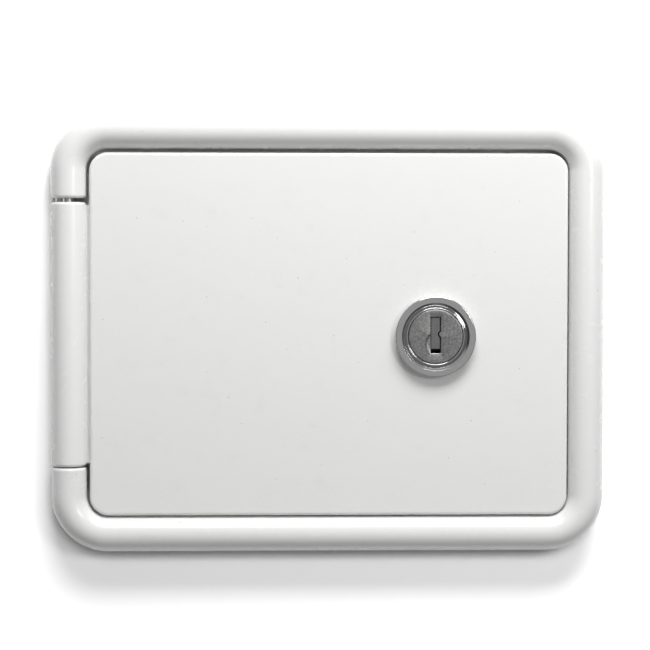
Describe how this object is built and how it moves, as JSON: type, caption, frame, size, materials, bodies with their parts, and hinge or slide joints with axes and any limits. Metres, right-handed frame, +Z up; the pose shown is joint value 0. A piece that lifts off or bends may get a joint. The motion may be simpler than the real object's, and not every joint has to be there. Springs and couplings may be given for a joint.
{
  "type": "water fill hatch",
  "caption": "Wall hatch for a caravan's water filler: hollow half-round frame with a throat, a hinged flat door and a key-operated cam lock.",
  "frame": {"origin": "on the wall's face, at the middle of the frame's back face", "axes": "+X to the right seen from outside, +Y into the wall, +Z up; the front faces -Y"},
  "size_m": [0.153, 0.0279, 0.121],
  "materials": {
    "frame_plastic": "moulded gloss white",
    "pin_steel": "plain steel",
    "seal_rubber": "matt black",
    "door_plastic": "moulded gloss white",
    "lock_chrome": "polished",
    "lock_steel": "zinc plated",
    "plug_satin": "satin"
  },
  "bodies": {
    "frame": {"frame_moulding": "frame_plastic", "hinge_pin_upper": "pin_steel", "hinge_pin_lower": "pin_steel", "door_seal": "seal_rubber"},
    "door": {"door": "door_plastic", "lock_housing": "lock_chrome", "lock_nut": "lock_steel"},
    "lock": {"lock_plug": "plug_satin", "key_shutter": "lock_steel", "lock_cam": "lock_steel", "cam_screw": "lock_steel"}
  },
  "joints": [
    {"name": "door_hinge", "type": "hinge", "parent": "frame", "child": "door", "pos_m": [-0.0716, -0.0065, 0], "axis": [0, 0, -1], "range_deg": [0, 180]},
    {"name": "lock_turn", "type": "hinge", "parent": "door", "child": "lock", "pos_m": [0.0294, -0.0093, -0.0009], "axis": [0, 1, 0], "range_deg": [0, 90]}
  ]
}
